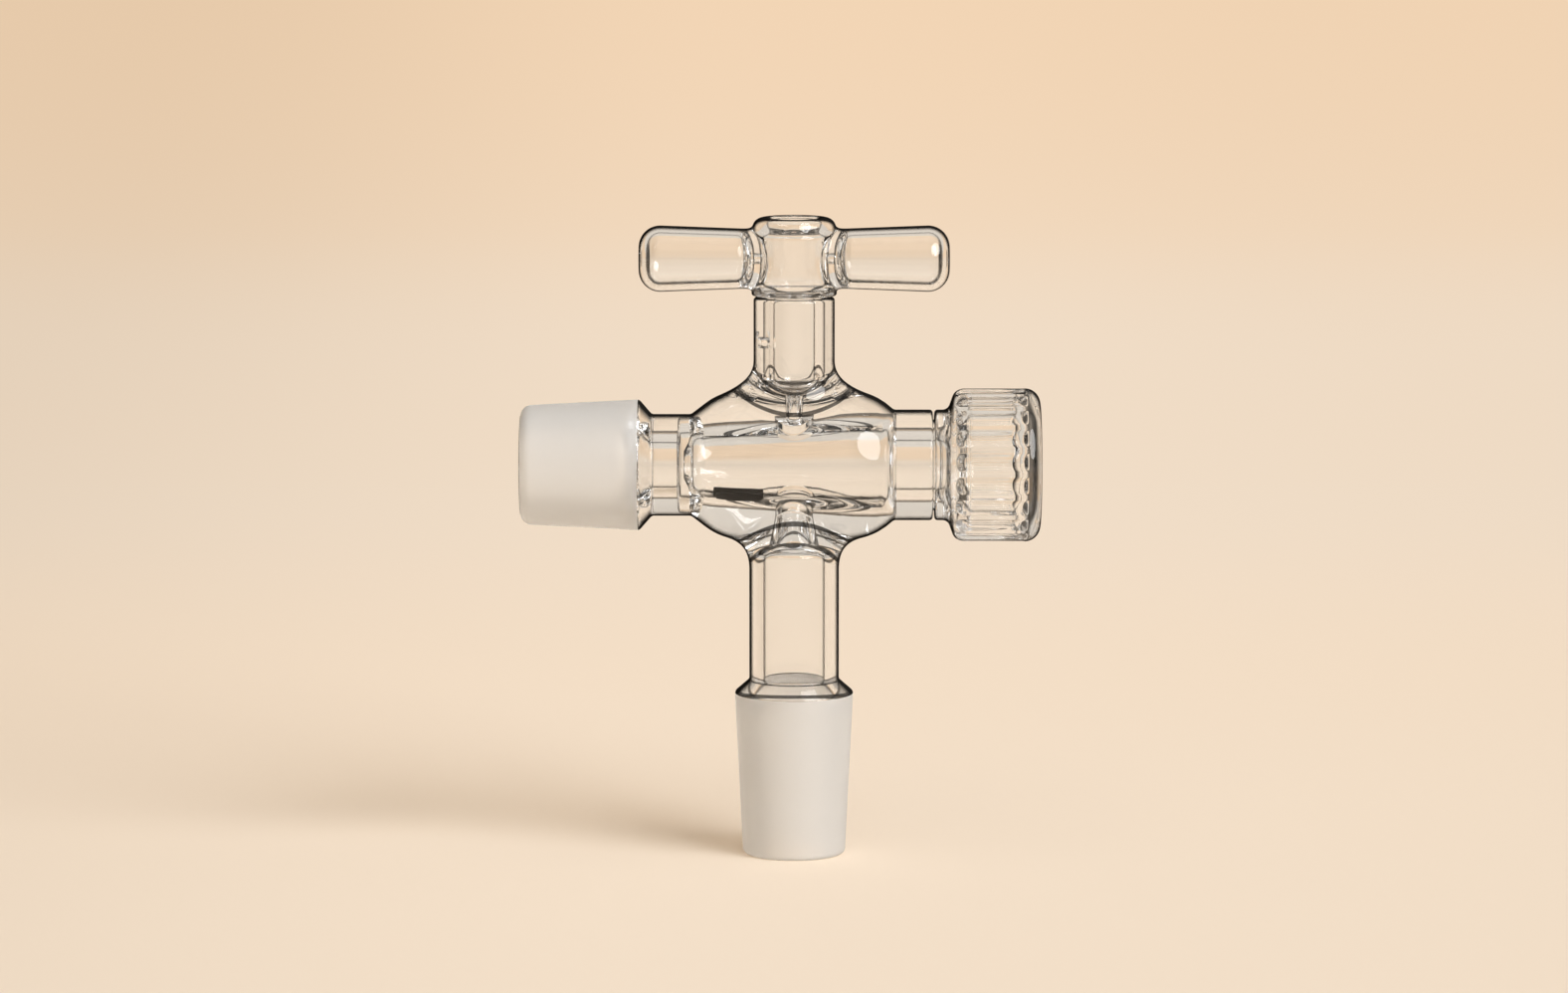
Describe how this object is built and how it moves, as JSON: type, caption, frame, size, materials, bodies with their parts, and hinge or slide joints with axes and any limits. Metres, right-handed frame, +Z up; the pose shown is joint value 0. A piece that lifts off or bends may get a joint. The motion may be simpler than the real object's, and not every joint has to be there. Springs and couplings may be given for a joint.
{
  "type": "glass stopcock",
  "caption": "Glass stopcock with two male ground cone joints, a hollow tapered plug turned by a fluted knob and a hollow vent key with a T handle.",
  "frame": {"origin": "centre of the lower joint's foot, on the surface that the stopcock stands on", "axes": "+Z up along the lower neck and the vent key, +X along the barrel from the side joint to the fluted knob"},
  "size_m": [0.0822, 0.0242, 0.1015],
  "materials": {
    "body_glass": "clear fire-polished glass, finely ground and frosted on the two cone joints",
    "plug_glass": "clear fire-polished glass",
    "key_glass": "clear fire-polished glass"
  },
  "bodies": {
    "body": {"body": "body_glass"},
    "plug": {"plug": "plug_glass"},
    "vent_key": {"vent_key": "key_glass"}
  },
  "joints": [
    {"name": "plug_turn", "type": "hinge", "parent": "body", "child": "plug", "pos_m": [0, 0, 0.06225], "axis": [1, 0, 0], "continuous": true},
    {"name": "key_turn", "type": "hinge", "parent": "body", "child": "vent_key", "pos_m": [0, 0, 0.0889], "axis": [0, 0, 1], "continuous": true}
  ]
}
